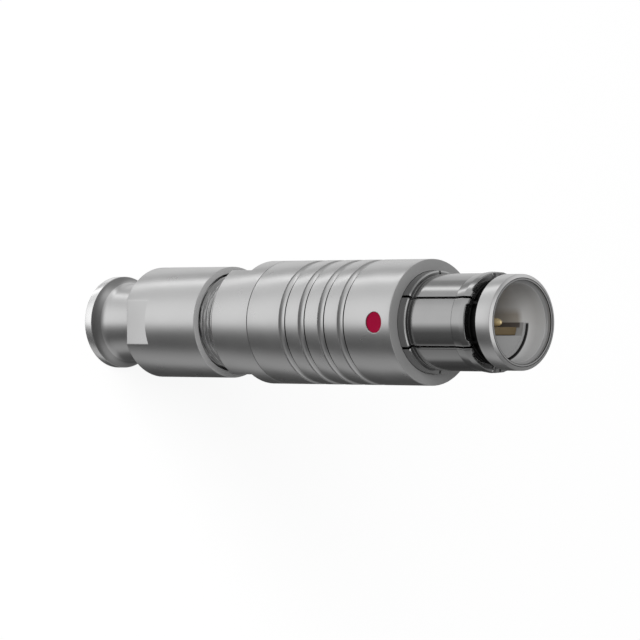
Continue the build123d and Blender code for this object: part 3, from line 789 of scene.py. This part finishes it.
def makeLatchSleeve():
    d = named(**latchSleeve)
    rear, tip = ends("latch_sleeve")
    start, crest, finger, line = d.collarFront, d.toothCrest, d.fingerRadius, d.toothStart
    collar, groove, slotStart = d.collarRadius, d.grooveRadius, d.slotStart
    crestRadius, fall = d.crestRadius, d.tipRadius - d.crestRadius
    flangeFront, grooveEnd = rear + d.flangeThickness, start + d.grooveLength
    outline = roundCorners([
        (d.rearInside, rear, 0), (d.flangeRadius, rear, d.edge), (d.flangeRadius, flangeFront, d.edge),
        (collar, flangeFront, d.edge), (collar, d.collarMiddle, 0), (collar, slotStart, 0),
        (collar, slotStart + d.slotRise, 0), (collar, start - d.collarChamfer[1], 0),
        (collar - d.collarChamfer[0], start, 0), (groove, start, d.grooveEdge),
        (groove, grooveEnd - 2 * d.grooveEdge, d.grooveEdge), (finger, grooveEnd, d.edge),
        *steps(finger, grooveEnd + 2 * d.grooveEdge, line - 2 * d.grooveEdge, d.fingerRows),
        (finger, line, 0), (finger - d.lineDepth, line + d.lineLength / 2, 0),
        (finger + d.linePeak, line + d.lineLength, 0), (crestRadius, crest, d.crestEdge),
        *[(crestRadius + fall * s, crest + (tip - crest) * s, 0) for s in d.tipRows],
        (d.tipRadius, tip, d.tipEdge), (d.tipInside, tip, 0),
    ], closed=False)
    halfSlot, pitch, at = d.slotWidth / 2, 2 * pi / d.fingers, d.pocketAt
    wall, corner = d.pocketHalfWidth, d.pocketHalfWidth - d.pocketCorner
    pocketEdge = [corner + x for x in d.cornerColumns] + [wall + x for x in d.wallColumns]
    turns = [(n, way) for n in range(d.fingers) for way in (-1, 1)]
    slots = [n * pitch + way * asin((halfSlot + x) / finger) for n, way in turns for x in d.slotColumns]
    pockets = [(n + 0.5) * pitch + way * asin(x / at) for n, way in turns for x in pocketEdge]
    angles = ring(d.columns, slots + pockets)

    def skin(radii, heights, outside):
        t = np.broadcast_to(angles[None, :], (len(radii), len(angles)))
        r = np.repeat(radii[:, None], len(angles), 1)
        h = np.repeat(heights[:, None], len(angles), 1)
        # Slot walls are parallel: beside a slot, at a distance s from its middle, the angle is asin(s / r).
        away = (t + pitch / 2) % pitch - pitch / 2
        reach = finger * np.sin(np.abs(away))
        near = (reach > halfSlot - hair) & (reach < halfSlot + d.slotColumns[-1] + hair)
        t = np.where(near, t - away + np.sign(away) * np.arcsin(np.clip(reach / r, 0, 1)), t)
        # Slot edges are rounded by a quarter circle of slotEdge, from where the slots begin.
        if outside:
            edge = d.slotEdge
            inset = np.clip(edge - (reach - halfSlot), 0, edge)
            r = r - (edge - np.sqrt(edge**2 - inset**2)) * (h > slotStart + beside[1])
        # The pocket in a tip lowers the end by its depth, which falls off in a quarter circle at its sides,
        # and the rows between the crest and the tip move in proportion, along the slope of the nose.
        across = at * np.abs(np.sin((t % pitch) - pitch / 2))
        side = np.clip(across - corner, 0, d.pocketCorner)
        depth = d.pocketDepth - d.pocketCorner + np.sqrt(d.pocketCorner**2 - side**2)
        depth = np.where(across < wall, depth, 0)
        lowered = np.where(h > crest, crest + (h - crest) * (tip - depth - crest) / (tip - crest), h)
        return roundAxis(t, r + outside * fall / (tip - crest) * (lowered - h), lowered)

    heights = np.maximum.accumulate(outline[:, 1])
    insideHeights = heights + d.rowGap * np.arange(len(heights))
    insideHeights = rear + (insideHeights - rear) * (tip - rear) / (insideHeights[-1] - rear)
    middle = angles + ((np.roll(angles, -1) - angles) % (2 * pi)) / 2
    inSlot = np.abs((middle + pitch / 2) % pitch - pitch / 2) < asin(halfSlot / finger)
    kept = ~((outline[:-1, 1] > slotStart + beside[1])[:, None] & inSlot[None, :])
    outer, inner = skin(*outline.T, 1), skin(np.full(len(outline), d.bore), insideHeights, 0)
    addPiece("latchSleeve", walled(outer, inner, kept), darkNickel, "dark_nickel", "release", "latch_sleeve")


makeLatchSleeve()

# The nose tube: the front ring with its stepped mouth, and the tube that the fingers close on

noseTube = {
    "bore": 3.7, "tubeRadius": 3.98, "neckRadius": 3.88, "neckLength": 1.3, "neckSlope": 0.1,
    "ringRadius": 4.5, "ringLength": 1.92, "ringRearChamfer": 0.08, "coneRadius": 4.17, "coneLength": 0.14,
    "lineRadius": 4.13, "lineWidth": 0.06, "lineDepth": 0.06, "throatRadius": 3.91, "throatDepth": 0.36,
    "edge": 0.03, "fineEdge": 0.02, "tubeEdge": 0.04, "columns": 256,
}


def makeNoseTube():
    d = named(**noseTube)
    rear, front = ends("nose_tube")
    ringRear = front - d.ringLength
    neck, neckRear, chamfer = d.neckRadius, ringRear - d.neckLength, d.ringRearChamfer
    outer, fine = d.ringRadius, d.fineEdge
    throat, throatFloor = d.throatRadius, front - d.throatDepth
    lineIn, lineOut = d.lineRadius - d.lineWidth / 2, d.lineRadius + d.lineWidth / 2
    corners = [
        (d.bore, rear, d.tubeEdge), (d.tubeRadius, rear, d.tubeEdge), (d.tubeRadius, neckRear, 0),
        (neck, neckRear + d.neckSlope, 0), (neck, ringRear, d.edge), (outer - chamfer, ringRear, fine),
        (outer, ringRear + chamfer, fine), (outer, front - d.coneLength, d.edge),
        (d.coneRadius, front, d.edge), (lineOut, front, 0), (lineOut, front - d.lineDepth, 0),
        (lineIn, front - d.lineDepth, 0), (lineIn, front, 0), (throat, front, fine),
        (throat, throatFloor, fine), (d.bore, throatFloor - throat + d.bore, d.tubeEdge),
    ]
    tube = turned(roundCorners(corners), ring(d.columns))
    addPiece("noseTube", tube, noseNickel, "bright_nickel", "housing", "nose_tube")


makeNoseTube()

# The half shells round the insert; the lower one carries the keying segment, whose flat face is at x = chord

halfShells = {
    "inner": 3.2, "outer": 3.55, "lipRadius": 3.5, "lipLength": 2.0, "lipSlope": 0.2, "heelRadius": 4.1,
    "heelFront": 32.53, "chord": 1.23, "segmentFront": 52.62, "segmentRear": 46.22, "segmentGap": 0.01,
    "edge": 0.03, "seam": 0.2, "columns": 97, "cornerAngles": (-1.5, -0.6, -0.1, 0.1, 0.6), "smallest": 0.01,
}


def makeHalfShells():
    d = named(**halfShells)
    inner, edge = d.inner, d.edge

    def makeHalf(name, node, middle, segment):
        rear, front = ends(node)
        lip = front - d.lipLength
        corners = [
            (inner, rear, 0), (d.heelRadius, rear, edge), (d.heelRadius, d.heelFront, edge),
            (d.outer, d.heelFront, edge), (d.outer, lip, 0), (d.lipRadius, lip + d.lipSlope, 0),
            (d.lipRadius, front, edge), (inner, front, edge), *segment,
        ]
        half = pi / 2 - radians(d.seam)
        angles = np.linspace(-half, half, d.columns)
        if segment:
            cornerAngle = acos(d.chord / inner)
            near = np.radians(d.cornerAngles)
            angles = np.sort(np.concatenate((angles, *(side * (cornerAngle + near) for side in (-1, 1)))))

        def shape(t, r, h):
            # The segment's face is flat: r grows as 1 / cos(angle from its middle) until it meets the shell.
            flat = np.minimum(r / np.maximum(np.cos(t), d.smallest), inner - d.segmentGap)
            return np.where(r < inner - d.segmentGap - edge, flat, r), h

        points, faces = partTurned(roundCorners(corners), angles, shape)
        turn = np.array(((cos(middle), sin(middle), 0), (-sin(middle), cos(middle), 0), (0, 0, 1)))
        addPiece(name, (points @ turn, faces), shellGrey, "shell_grey", "housing", node)

    chord, start, end = d.chord, d.segmentFront, d.segmentRear
    segment = [(inner, start, 0), (chord, start, edge), (chord, end, edge), (inner, end, 0)]
    makeHalf("lowerHalfShell", "lower_half_shell", 0, segment)
    makeHalf("upperHalfShell", "upper_half_shell", pi, [])


makeHalfShells()

# A step of the insulator's material lies on the keying segment, beside the pins

insulatorStep = {"bottom": 0.44, "top": 1.19, "reach": 3.12, "front": 51.9, "edge": 0.08, "points": 14}


def makeInsulatorStep():
    d = named(**insulatorStep)
    # the outline is two chords of a circle closed by its arcs, y = sqrt(reach^2 - x^2)
    x = np.linspace(d.bottom, d.top, d.points)
    y = np.sqrt(d.reach**2 - x**2)
    outline = np.stack((np.concatenate((x, x[::-1])), np.concatenate((y, -y[::-1]))), 1)
    step = bar(outline, high("contact_insulator")[2], d.front, 0, d.edge)
    addPiece("insulatorStep", step, insertBrown, "insert_brown", "housing")


makeInsulatorStep()

# The contact pins, each with a pointed tip and a solder cup that is cut open on its outer side

contactPin = {
    "radius": 0.4, "tipBack": 0.3, "tipLength": 0.75, "tipRadius": 0.08, "tipBulge": 1.25, "tipEdge": 0.02,
    "shoulderEdge": 0.1, "spread": 1.0, "cupRadius": 0.65, "cupBore": 0.42, "cupLength": 4.0, "cupDepth": 2.6,
    "cutLength": 1.6, "cutRise": 0.2, "cupEdge": 0.03, "cupShoulderEdge": 0.04, "tipPoints": 12, "columns": 64,
}


def makeContactPins():
    d = named(**contactPin)
    cup, tipRadius, radius, shoulder = d.cupRadius, d.tipRadius, d.radius, d.shoulderEdge
    for number, side in ((1, 1), (2, -1)):
        node = "contact_pin_" + str(number)
        rear, front = low(node)[2], high(node)[2] - d.tipBack
        cupFront, cutEnd = rear + d.cupLength, rear + d.cutLength + d.cutRise
        # the tip narrows along a bulging arc: r = tipRadius + (radius - tipRadius) sin(a)^bulge, and
        # h = front - length (1 - cos a)
        a = np.linspace(pi / 2, 0, d.tipPoints)[1:-1]
        tipRadii = tipRadius + (radius - tipRadius) * np.sin(a) ** d.tipBulge
        tipHeights = front - d.tipLength * (1 - np.cos(a))
        outline = roundCorners([
            (0, rear + d.cupDepth, 0), (d.cupBore, rear + d.cupDepth, shoulder), (d.cupBore, cutEnd, 0),
            (d.cupBore, rear, d.cupEdge), (cup, rear, d.cupEdge), (cup, cutEnd, 0),
            (cup, cupFront, d.cupShoulderEdge), (radius, cupFront, 0),
            (radius, front - d.tipLength, shoulder), *[(r, h, 0) for r, h in zip(tipRadii, tipHeights)],
            (tipRadius, front, d.tipEdge), (0, front, 0),
        ], closed=False)
        points, faces = spun(outline, ring(d.columns, [angle + n for angle in (0, pi) for n in beside]))
        # the cut moves the cup's end up where y is beyond the pin's axis, and the rows above it in proportion
        share = np.clip((cutEnd - points[:, 2]) / (cutEnd - rear), 0, 1)
        points[:, 2] += np.where(side * points[:, 1] > 0, d.cutLength * share, 0)
        points[:, 1] += side * d.spread
        addPiece("contactPin" + str(number), (points, faces), contactGold, "contact_gold", "housing", node)


makeContactPins()
print("pieces made")

# Floor, reflections, lamp, world and camera

studio = {
    "floorSize": 6.0, "floorTone": (0.96, 0.97), "floorPatch": 333, "floorGlow": 0.85, "floorWhite": 1.04,
    "worldDiffuse": 0.35, "lampPlace": (-0.2, -0.42, 0.5), "lampSize": 0.4, "lampPower": 3.6,
    "tentRadius": 0.25, "tentHalfHeight": 0.6, "tentMiddle": 0.03, "tentSides": 128,
    "blends": ((-0.15, -0.07), (0.03, 0.1)), "footLow": -0.56, "footHigh": -0.46, "footLevel": 0.12,
    # light that polished metal reflects from below, from beside and from above, by the angle from -Y towards +X
    "tentBelow": (
        (-180, 0.5), (-150, 0.76), (-120, 0.72), (-114, 0.45), (-99, 0.42), (-94, 0.7), (-91, 1.0),
        (-90, 1.6), (-82, 1.6), (-81, 1.0), (-79, 0.72), (-60, 0.68), (-50, 0.76), (-38, 0.92), (-22, 0.98),
        (0, 0.98), (5, 0.8), (14, 0.34), (24, 0.15), (50, 0.085), (57, 0.18), (70, 0.34), (93, 0.42),
        (101, 0.28), (107, 0.11), (129, 0.06), (160, 0.06), (180, 0.3),
    ),
    "tentBeside": (
        (-180, 0.36), (-150, 0.45), (-125, 0.32), (-95, 0.4), (-70, 0.95), (-50, 0.5), (-20, 0.22),
        (20, 0.18), (45, 0.25), (65, 0.48), (90, 0.52), (110, 0.32), (140, 0.2), (165, 0.22), (180, 0.36),
    ),
    "tentAbove": (
        (-180, 0.26), (-165, 0.36), (-152, 0.85), (-138, 0.85), (-120, 0.4), (-100, 0.28), (-60, 0.25),
        (-20, 0.17), (20, 0.12), (60, 0.13), (90, 0.16), (120, 0.18), (150, 0.28), (180, 0.26),
    ),
}
camera = {
    "target": (-0.00022, -0.00008, 0.02898), "distance": 0.4358, "lens": 253.1, "sensor": 36.0,
    "right": (0, sqrt(0.5), sqrt(0.5)), "up": (-1, 0, 0), "back": (0, -sqrt(0.5), sqrt(0.5)),
}


def levelRamp(tree, place, levels):
    # Grey levels over the angle, which the ramp takes as (angle + 180) / 360.
    ramp = addNode(tree, "ShaderNodeValToRGB", {0: place})
    stops = ramp.color_ramp.elements
    while len(stops) < len(levels):
        stops.new(0.5)
    for stop, (angle, level) in zip(stops, levels):
        stop.position = (angle + 180) / 360
        stop.color = (level, level, level, 1)
    return ramp.outputs[0]


def makeFloor():
    # A pale square that glows white to the camera and still takes the object's shadow.
    d = named(**studio)
    reach = d.floorSize / 2
    mesh = bpy.data.meshes.new("floor")
    corners = [(x * reach, y * reach, 0) for x, y in ((-1, -1), (1, -1), (1, 1), (-1, 1))]
    mesh.from_pydata(corners, [], [(0, 1, 2, 3)])
    floor = bpy.data.objects.new("floor", mesh)
    material, tree, shader = newFinish("paleFloor", **{"Roughness": 1.0, "Specular IOR Level": 0.0})
    tone = tinted(tree, mottle(tree, objectPlace(tree), d.floorPatch), *d.floorTone)
    tree.links.new(tone, shader.inputs["Base Color"])
    output = next(node for node in tree.nodes if node.type == "OUTPUT_MATERIAL")
    ray = addNode(tree, "ShaderNodeLightPath").outputs
    white = addNode(tree, "ShaderNodeEmission", {0: (1, 1, 1, 1), 1: d.floorWhite})
    share = combined(tree, "MULTIPLY", ray["Is Camera Ray"], d.floorGlow)
    mixed = addNode(tree, "ShaderNodeMixShader", {0: share, 1: shader.outputs[0], 2: white.outputs[0]})
    tree.links.new(mixed.outputs[0], output.inputs[0])
    mesh.materials.append(material)
    floor.visible_glossy = False
    return floor


def makeTent():
    # A tall cylinder of light that only reflections see, round the object's axis, with a dark foot.
    d = named(**studio)
    j = np.arange(d.tentSides)
    k = (j + 1) % d.tentSides
    circle = roundAxis(j * 2 * pi / d.tentSides, d.tentRadius, 0 * j)
    lift = np.array((0, 0, d.tentHalfHeight))
    sides = np.stack((j, k, k + d.tentSides, j + d.tentSides), 1).tolist()
    mesh = bpy.data.meshes.new("lightTent")
    mesh.from_pydata(np.concatenate((circle - lift, circle + lift)), [], [*sides, j.tolist()])
    tent = bpy.data.objects.new("lightTent", mesh)
    tent.location = (0, 0, d.tentMiddle)
    for way in ("camera", "diffuse", "shadow", "transmission", "volume_scatter"):
        setattr(tent, "visible_" + way, False)
    material = bpy.data.materials.new("tentLight")
    material.use_nodes = True
    tree = material.node_tree
    tree.nodes.clear()
    parts = addNode(tree, "ShaderNodeSeparateXYZ", {0: objectPlace(tree)}).outputs
    angle = combined(tree, "ARCTAN2", parts[0], combined(tree, "MULTIPLY", parts[1], -1.0))
    share = between(tree, angle, 0.0, 1.0, -pi, pi)
    level = levelRamp(tree, share, d.tentBelow)
    for (start, end), levels in zip(d.blends, (d.tentBeside, d.tentAbove)):
        height = between(tree, parts[2], 0.0, 1.0, start, end)
        level = tinted(tree, height, level, levelRamp(tree, share, levels))
    foot = between(tree, parts[2], d.footLevel, 1.0, d.footLow, d.footHigh)
    glow = addNode(tree, "ShaderNodeEmission", {0: level, 1: foot})
    tree.links.new(glow.outputs[0], addNode(tree, "ShaderNodeOutputMaterial").inputs[0])
    material.cycles.emission_sampling = "NONE"
    mesh.materials.append(material)
    return tent


def makeLamp():
    d = named(**studio)
    light = bpy.data.lights.new("softLamp", "AREA")
    light.size, light.energy = d.lampSize, d.lampPower
    lamp = bpy.data.objects.new("softLamp", light)
    lamp.location = d.lampPlace
    lamp.rotation_euler = (-Vector(d.lampPlace)).to_track_quat("-Z", "Y").to_euler()
    lamp.visible_glossy = False
    return lamp


def makeWorld():
    # The world is white to the camera, to reflections and through glass, and less as light on the object.
    world = bpy.data.worlds.new("studio")
    world.use_nodes = True
    tree = world.node_tree
    tree.nodes.clear()
    ray = addNode(tree, "ShaderNodeLightPath").outputs
    seen = combined(tree, "MAXIMUM", ray["Is Camera Ray"], ray["Is Glossy Ray"])
    seen = combined(tree, "MAXIMUM", seen, ray["Is Transmission Ray"])
    strength = between(tree, seen, studio["worldDiffuse"], 1.0, 0.0, 1.0)
    background = addNode(tree, "ShaderNodeBackground", {0: (1, 1, 1, 1), 1: strength})
    tree.links.new(background.outputs[0], addNode(tree, "ShaderNodeOutputWorld").inputs[0])
    world.cycles.sampling_method = "NONE"
    return world


def makeCamera():
    d = named(**camera)
    lens = bpy.data.cameras.new("camera")
    lens.lens, lens.sensor_width, lens.sensor_fit = d.lens, d.sensor, "HORIZONTAL"
    seer = bpy.data.objects.new("camera", lens)
    turn = Matrix((d.right, d.up, d.back)).transposed().to_4x4()
    seer.matrix_world = Matrix.Translation(Vector(d.target) + Vector(d.back) * d.distance) @ turn
    return seer


scene = bpy.context.scene
staged = makeFloor(), makeTent()
scene.camera = makeCamera()
scene.world = makeWorld()
scene.view_settings.view_transform = "Standard"
for thing in (*staged, makeLamp(), scene.camera):
    scene.collection.objects.link(thing)
print("studio and camera made")

bpy.context.view_layer.update()
